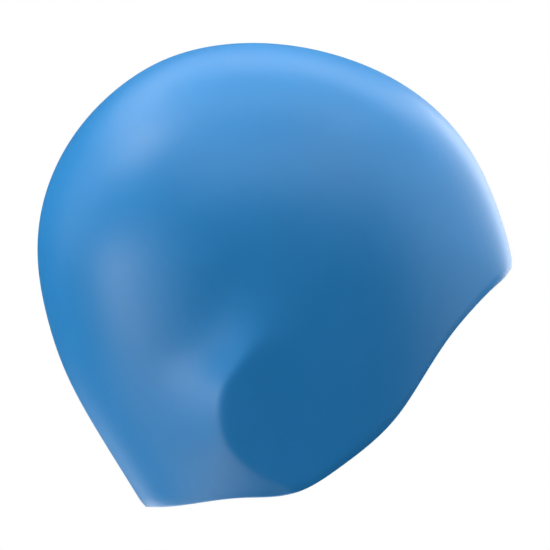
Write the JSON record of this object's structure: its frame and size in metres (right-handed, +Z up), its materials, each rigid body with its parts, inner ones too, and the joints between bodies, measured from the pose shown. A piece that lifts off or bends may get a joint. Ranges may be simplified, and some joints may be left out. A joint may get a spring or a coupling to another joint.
{
  "type": "swim cap",
  "caption": "Seamless moulded silicone swim cap: a dome for the head, deeper at the nape, with a raised pocket over each ear and an open, rolled rim.",
  "frame": {"origin": "inside of the crown, where the top of the head touches the cap", "axes": "+X forward to the forehead, +Y to the wearer's left, +Z up out of the crown"},
  "size_m": [0.2, 0.1512, 0.1956],
  "materials": {
    "silicone": "satin moulded silicone"
  },
  "bodies": {
    "root": {"cap": "silicone"}
  },
  "joints": []
}
